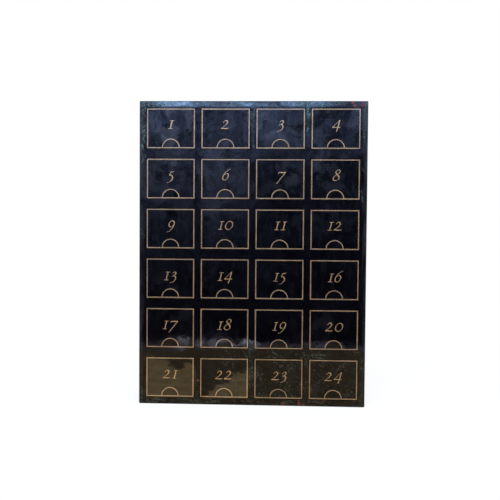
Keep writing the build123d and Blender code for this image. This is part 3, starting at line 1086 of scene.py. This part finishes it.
def thickets():
    """Where twigs grow: middle across and up, reach across and up, how many, and which way they lean."""
    half, top = CASE_W / 2, CASE_H
    upright, level = math.pi / 2, 0.0
    high, low = top - END_BAR_Z, END_BAR_Z
    shelf = ROW_ZS[1] - (PITCH_Z - FRONT_H) / 2
    gap_12, gap_23, gap_34 = [(before + after) / 2 for before, after in zip(COLUMN_XS, COLUMN_XS[1:])]
    return (
        (-SIDE_BAR_X, top * 0.93, 0.003, 0.030, 34, upright),
        (-SIDE_BAR_X, top * 0.79, 0.003, 0.030, 3, upright),
        (-SIDE_BAR_X, top * 0.62, 0.003, 0.040, 1, upright),
        (-SIDE_BAR_X, top * 0.04, 0.003, 0.016, 8, upright),
        (SIDE_BAR_X, top * 0.90, 0.003, 0.030, 6, upright),
        (SIDE_BAR_X, top * 0.74, 0.003, 0.035, 2, upright),
        (SIDE_BAR_X, top * 0.10, 0.003, 0.035, 9, upright),
        (-half * 0.90, high, 0.015, 0.003, 24, level),
        (-half * 0.36, high, 0.010, 0.003, 3, level),
        (-half * 0.15, high, 0.015, 0.003, 6, level),
        (half * 0.47, high, 0.022, 0.003, 16, level),
        (half * 0.74, high, 0.014, 0.003, 5, level),
        (gap_23, top * 0.915, 0.003, 0.014, 11, upright),
        (gap_34, top * 0.958, 0.003, 0.018, 32, upright),
        (-half * 0.70, low, 0.042, 0.003, 16, level),
        (-half * 0.20, low, 0.030, 0.003, 5, level),
        (half * 0.50, low, 0.070, 0.003, 12, level),
        (gap_12, top * 0.04, 0.002, 0.016, 4, upright),
        (gap_23, top * 0.08, 0.002, 0.030, 10, upright),
        (gap_34, top * 0.08, 0.002, 0.030, 6, upright),
        (half * 0.42, shelf, 0.040, 0.004, 4, level),
    )


def twig_places(chance):
    """A spot and a heading for every twig of the thickets."""
    places = []
    for across, up, wide, tall, count, lean in thickets():
        for _ in range(count):
            spot = Vector((across + chance.uniform(-wide, wide), 0, up + chance.uniform(-tall, tall)))
            turn = chance.choice((0.0, math.pi)) + math.radians(chance.uniform(-TWIG_TURN, TWIG_TURN))
            places.append((spot, lean + turn))
    return places


def off_the_bars(place, gap):
    """True where a spot of the face lies on a drawer front, near one, or off the edge of the face."""
    if abs(place.x) > CASE_W / 2 - gap or not gap < place.z < CASE_H - gap:
        return True
    for low, high in FRONTS.values():
        if low.x - gap < place.x < high.x + gap and low.z - gap < place.z < high.z + gap:
            return True
    return False


def trim_to_bars(piece, gap):
    """Deletes every needle that reaches over a window or the edge of the face."""
    edit(piece)
    bpy.ops.mesh.select_mode(type="VERT")
    bpy.ops.mesh.select_all(action="DESELECT")
    bpy.ops.object.mode_set(mode="OBJECT")
    for vertex in piece.data.vertices:
        vertex.select = off_the_bars(vertex.co, gap)
    bpy.ops.object.mode_set(mode="EDIT")
    bpy.ops.mesh.select_linked()
    bpy.ops.mesh.delete(type="VERT")
    close_edit()


def berry_places():
    """Berries at the upper right, along the bottom and in a gap: across, up, share of the diameter."""
    right, top = CASE_W / 2, CASE_H
    gap_12 = (COLUMN_XS[0] + COLUMN_XS[1]) / 2
    return (
        (right - 0.0195, top - 0.0027, 0.95),
        (right - 0.0065, top - 0.0050, 1.15),
        (right - 0.0165, top - 0.0064, 0.9),
        (0.0638, 0.0032, 1.0),
        (0.0631, 0.0072, 0.65),
        (0.0419, 0.0036, 1.0),
        (0.0960, 0.0072, 0.6),
        (gap_12 + 0.0015, 0.0323, 0.76),
    )


def draw_berry(leaf):
    """A low dome of unit radius on the face."""
    bpy.ops.mesh.primitive_uv_sphere_add(
        segments=BERRY_SIDES, ring_count=BERRY_RINGS, radius=1.0, rotation=(math.pi / 2, 0, 0))
    berry = bpy.context.active_object
    settle(berry)
    edit(berry)
    bpy.ops.mesh.bisect(plane_co=(0, -BERRY_CUT, 0), plane_no=(0, 1, 0), use_fill=True, clear_outer=True)
    close_edit()
    berry.scale = (1.0, BERRY_PRESS * leaf.ink_height, 1.0)
    settle(berry)
    bpy.ops.object.shade_smooth_by_angle(angle=SMOOTH_ANGLE)
    return name_piece(berry, "berry")


class CALENDAR_OT_evergreen(bpy.types.Operator):
    """Print the evergreen twigs on the bars of the face"""

    bl_idname = "calendar.evergreen"
    bl_label = "Evergreen twigs"

    def execute(self, context):
        leaf = context.scene.calendar_print
        chance = random.Random(leaf.seed)
        needle = draw_needle(leaf)
        kinds = [draw_twig(leaf, needle, chance, f"twig_{index}") for index in range(TWIG_KINDS)]
        twigs = []
        for spot, heading in twig_places(chance):
            twig = copy_of(chance.choice(kinds), "twig_copy")
            size = chance.uniform(*TWIG_SIZES)
            twig.location = spot
            twig.rotation_euler = (0, -heading, 0)
            twig.scale = (size, 1.0, size)
            twigs.append(twig)
        printed = join(twigs, "evergreen_print")
        delete(kinds + [needle])
        trim_to_bars(printed, leaf.window_gap)
        finish_piece(printed, CASE_BODY, "evergreen_ink")
        return {"FINISHED"}


class CALENDAR_OT_berries(bpy.types.Operator):
    """Print the berries on the bars of the face"""

    bl_idname = "calendar.berries"
    bl_label = "Berries"

    def execute(self, context):
        leaf = context.scene.calendar_print
        blank = draw_berry(leaf)
        berries = []
        for across, up, share in berry_places():
            berry = copy_of(blank, "berry_copy")
            radius = leaf.berry_diameter / 2 * share
            berry.location = (across, FACE_Y, up)
            berry.scale = (radius, 1.0, radius)
            berries.append(berry)
        printed = join(berries, "berry_print")
        delete([blank])
        edit(printed)
        close_edit()
        finish_piece(printed, CASE_BODY, "berry_ink")
        return {"FINISHED"}


# Stage

def seen_directly(tree):
    """1 for rays that show the background to the eye: from the camera, off gloss and through glass."""
    path = node(tree, "LightPath").outputs
    seen = math_node(tree, "MAXIMUM", path["Is Camera Ray"], path["Is Glossy Ray"])
    return math_node(tree, "MAXIMUM", seen, path["Is Transmission Ray"])


def set_world(stage):
    """White all round to the eye, and an even soft light on the object."""
    world = bpy.data.worlds.new("studio")
    bpy.context.scene.world = world
    world.use_nodes = True
    tree = world.node_tree
    tree.nodes.clear()
    light = node(tree, "Background", {"Color": SKY_TINT, "Strength": stage.sky_strength})
    white = node(tree, "Background", {"Color": WHITE, "Strength": 1.0})
    shown = node(tree, "MixShader", {0: seen_directly(tree), 1: light.outputs[0], 2: white.outputs[0]})
    node(tree, "OutputWorld", {"Surface": shown.outputs[0]})


def lit_floor(tree, coordinates, place):
    """1 on the patches of lit floor, 0 on the rest."""
    ahead = math_node(tree, "SUBTRACT", FACE_Y, place["Y"])
    aside = math_node(tree, "SUBTRACT", place["X"], FAN_X)
    across = math_node(tree, "DIVIDE", aside, math_node(tree, "ADD", ahead, FAN_DEPTH))
    ragged = spread(tree, speckle(tree, coordinates, 22.0, 4.0, 0.6), 0.0, 1.0, -0.13, 0.13, "LINEAR")
    clear = spread(tree, ahead, 0.034, 0.042)
    lit = 0.0
    for (left, reach_left), (bend, reach_bend), (right, reach_right) in LIT_PATCHES:
        inside = times(tree, spread(tree, across, left - 0.001, left + 0.001),
                       spread(tree, across, right - 0.001, right + 0.001, 1.0, 0.0))
        first = spread(tree, across, left, bend, reach_left, reach_bend, "LINEAR")
        second = spread(tree, across, bend, right, 0.0, reach_right - reach_bend, "LINEAR")
        limit = math_node(tree, "ADD", math_node(tree, "ADD", ragged, first), second)
        short = spread(tree, math_node(tree, "SUBTRACT", limit, ahead), -0.008, 0.008)
        lit = math_node(tree, "MAXIMUM", lit, times(tree, inside, short, clear))
    return lit


def rim_haze(tree, coordinates, place, reach, radius):
    """The colour of the floor's dark rim, with ragged streaks of pale haze, strongest left of the middle."""
    drifted = stretched(tree, moved(tree, coordinates, HAZE_SHIFT), (60.0, 9.0, 1.0))
    streaks = speckle(tree, drifted, 1.0, 4.0, 0.62)
    hazy = spread(tree, streaks, 0.43, 0.62, 0.08, 1.0)
    banked = times(tree, spread(tree, place["X"], -0.21, -0.16, 0.15, 1.0),
                   spread(tree, place["X"], -0.03, 0.04, 1.0, 0.25))
    end = spread(tree, place["X"], -0.145, -0.125, 0.93 * radius, 0.965 * radius)
    end = math_node(tree, "ADD", end, spread(tree, streaks, 0.3, 0.7, -0.03, 0.03, "LINEAR"))
    ending = spread(tree, math_node(tree, "SUBTRACT", reach, end), -0.010, 0.010, 1.0, 0.0)
    return tint(tree, times(tree, hazy, times(tree, banked, ending)), DARK_RIM, PALE_HAZE)


def mirrored_floor(tree, coordinates, reach, radius):
    """What the gloss of the case mirrors of the floor: olive ground, lit on the left, and a hazy rim."""
    place = axes(tree, coordinates)
    ground = tint(tree, lit_floor(tree, coordinates, place), GROUND_OLIVE, LIT_GROUND)
    far = spread(tree, reach, radius * 0.86, radius * 0.90)
    colour = tint(tree, far, ground, rim_haze(tree, coordinates, place, reach, radius))
    grain = spread(tree, speckle(tree, coordinates, 40.0, 4.0, 0.62), 0.34, 0.66, 0.8, 1.2)
    return node(tree, "Emission", {"Color": colour, "Strength": grain}).outputs[0]


def lay_floor(stage):
    """A round floor. To the camera it is pale grey, keeps the shadow and fades to white at its rim."""
    radius = stage.floor_radius
    bpy.ops.mesh.primitive_circle_add(
        vertices=FLOOR_SIDES, radius=radius, fill_type="NGON", location=(0, 0, -FLOOR_DROP))
    floor = name_piece(bpy.context.active_object, "floor")
    settle(floor)
    finish, tree, coordinates = bare_finish("floor")
    reach = node(tree, "VectorMath", {0: coordinates}, operation="LENGTH").outputs["Value"]
    path = node(tree, "LightPath").outputs
    camera = path["Is Camera Ray"]
    pale = tint(tree, camera, shade(stage.floor_colour), FLOOR_GREY)
    matt = node(tree, "BsdfDiffuse", {"Color": pale}).outputs[0]
    white = node(tree, "Emission", {"Color": WHITE, "Strength": 1.0}).outputs[0]
    fading = times(tree, spread(tree, reach, radius * 0.4, radius * 0.85, 0.8, 1.0), camera)
    seen = node(tree, "MixShader", {0: fading, 1: matt, 2: white}).outputs[0]
    mirrored = mirrored_floor(tree, coordinates, reach, radius)
    shown = node(tree, "MixShader", {0: path["Is Glossy Ray"], 1: seen, 2: mirrored})
    node(tree, "OutputMaterial", {"Surface": shown.outputs[0]})
    dress(floor, finish)


def panel_colour(tree, height):
    """The panel's colour at a height, from its steps of light."""
    lowest, highest = PANEL_LIGHT[0][0], PANEL_LIGHT[-1][0]
    ramp = node(tree, "ValToRGB", {"Fac": spread(tree, height, lowest, highest, ends="LINEAR")})
    steps = ramp.color_ramp.elements
    while len(steps) < len(PANEL_LIGHT):
        steps.new(0.5)
    for step, (level, colour) in zip(steps, PANEL_LIGHT):
        step.position = (level - lowest) / (highest - lowest)
        step.color = colour + (1.0,)
    return ramp.outputs["Color"]


def panel_clouds(tree, coordinates, place):
    """How bright the panel is: cloudy, brighter on the left, and dim at middle height on the right."""
    drifted = moved(tree, coordinates, CLOUD_SHIFT)
    broad = spread(tree, speckle(tree, drifted, 5.0, 3.0, 0.55), 0.34, 0.66, 0.5, 1.5)
    fine = spread(tree, speckle(tree, drifted, 26.0, 5.0, 0.65), 0.41, 0.59, 0.05, 1.95)
    side = spread(tree, place["X"], -0.40, 0.28, 1.20, 0.70)
    right = spread(tree, place["X"], -0.16, 0.0)
    middle = times(tree, spread(tree, place["Z"], -0.06, 0.02),
                   spread(tree, place["Z"], 0.46, 0.54, 1.0, 0.0))
    dimmed = math_node(tree, "SUBTRACT", 1.0, times(tree, right, middle, 0.78))
    return times(tree, broad, fine, side, dimmed)


def hang_panel(stage):
    """A shaded half-round panel in front of the case, for its gloss to mirror. Only gloss sees it."""
    bpy.ops.mesh.primitive_cylinder_add(
        vertices=PANEL_SIDES, radius=stage.panel_distance, depth=PANEL_HEIGHT, end_fill_type="NOTHING",
        location=(0, 0, PANEL_MIDDLE_Z))
    panel = name_piece(bpy.context.active_object, "shaded_panel")
    settle(panel)
    edit(panel)
    bpy.ops.mesh.bisect(plane_co=(0, PANEL_END_Y, 0), plane_no=(0, 1, 0), clear_outer=True)
    bpy.ops.object.mode_set(mode="OBJECT")
    finish, tree, coordinates = bare_finish("shaded_panel")
    place = axes(tree, coordinates)
    colour = panel_colour(tree, place["Z"])
    glow = node(tree, "Emission", {"Color": colour, "Strength": panel_clouds(tree, coordinates, place)})
    node(tree, "OutputMaterial", {"Surface": glow.outputs[0]})
    dress(panel, finish)
    panel.visible_camera = False
    panel.visible_diffuse = False
    panel.visible_transmission = False
    panel.visible_shadow = False


def lamps(stage):
    """Each lamp's name, place, aim, width, height, power and colour, and whether the gloss mirrors it."""
    middle, upper_rows = (0, 0, CASE_H / 2), (0, FACE_Y, 0.33)
    return (
        ("key_lamp", (-0.25, -1.9, 1.55), middle, 1.8, 0.9, stage.key_power, (0.84, 0.93, 1.0), False),
        ("upper_lamp", (0, -0.45, 0.66), upper_rows, 0.6, 0.2, stage.upper_power, (0.64, 0.84, 1.0), False),
        ("left_lamp", (-1.7, -0.5, 0.9), middle, 1.0, 1.0, stage.fill_power, (1.0, 0.97, 0.93), True),
        ("right_lamp", (1.7, -0.3, 0.9), middle, 1.0, 1.0, stage.fill_power, (1.0, 0.98, 0.95), True),
        ("rear_lamp", (0.3, 1.9, 1.6), middle, 1.6, 1.0, stage.rear_power, (1.0, 1.0, 1.0), False),
    )


def hang_lamp(name, place, aim, width, height, power, colour, mirrored):
    """A soft lamp that looks at a point."""
    bpy.ops.object.light_add(type="AREA", location=place)
    lamp = bpy.context.active_object
    lamp.name = name
    lamp.data.shape = "RECTANGLE"
    lamp.data.size = width
    lamp.data.size_y = height
    lamp.data.energy = power
    lamp.data.color = colour
    lamp.visible_glossy = mirrored
    lamp.rotation_euler = (Vector(aim) - Vector(place)).to_track_quat("-Z", "Y").to_euler()


def set_camera(stage):
    """The camera at the photograph's viewing angle."""
    tilt, roll, turn = stage.camera_turn
    bpy.ops.object.camera_add(location=stage.camera_place)
    camera = bpy.context.active_object
    level = Euler((math.pi / 2 + tilt, 0, turn)).to_matrix()
    camera.rotation_euler = (level @ Matrix.Rotation(roll, 3, "Z")).to_euler()
    camera.data.lens = stage.lens
    camera.data.sensor_width = SENSOR_WIDTH
    camera.data.clip_start = NEAREST_SEEN
    bpy.context.scene.camera = camera


class CALENDAR_OT_stage(bpy.types.Operator):
    """Set the floor, the light and the camera"""

    bl_idname = "calendar.stage"
    bl_label = "Stage"

    def execute(self, context):
        stage = context.scene.calendar_stage
        set_world(stage)
        lay_floor(stage)
        hang_panel(stage)
        for lamp in lamps(stage):
            hang_lamp(*lamp)
        set_camera(stage)
        context.scene.view_settings.view_transform = "Standard"
        return {"FINISHED"}


class CALENDAR_PT_sidebar(bpy.types.Panel):
    """Lists the steps and the values of the calendar"""

    bl_label = "Advent Calendar"
    bl_idname = "CALENDAR_PT_sidebar"
    bl_space_type = "VIEW_3D"
    bl_region_type = "UI"
    bl_category = "Calendar"

    def draw(self, context):
        for operator in OPERATORS:
            self.layout.operator(operator.bl_idname)
        for group in SETTINGS:
            box = self.layout.box()
            values = getattr(context.scene, group)
            for name in SETTINGS[group].__annotations__:
                box.prop(values, name)


SETTINGS = {
    "calendar_gold": CalendarGold,
    "calendar_tab": CalendarTab,
    "calendar_print": CalendarPrint,
    "calendar_finish": CalendarFinish,
    "calendar_stage": CalendarStage,
}
OPERATORS = (
    CALENDAR_OT_finishes,
    CALENDAR_OT_finger_tabs,
    CALENDAR_OT_gold_lines,
    CALENDAR_OT_numbers,
    CALENDAR_OT_evergreen,
    CALENDAR_OT_berries,
    CALENDAR_OT_stage,
)
CLASSES = tuple(SETTINGS.values()) + OPERATORS + (CALENDAR_PT_sidebar,)


def register():
    for entry in CLASSES:
        bpy.utils.register_class(entry)
    for name, group in SETTINGS.items():
        setattr(bpy.types.Scene, name, PointerProperty(type=group))


def unregister():
    for name in SETTINGS:
        delattr(bpy.types.Scene, name)
    for entry in reversed(CLASSES):
        bpy.utils.unregister_class(entry)


def main():
    register()
    bpy.ops.calendar.finishes()
    bpy.ops.calendar.finger_tabs()
    bpy.ops.calendar.gold_lines()
    bpy.ops.calendar.numbers()
    bpy.ops.calendar.evergreen()
    bpy.ops.calendar.berries()
    bpy.ops.calendar.stage()


if __name__ == "__main__":
    main()
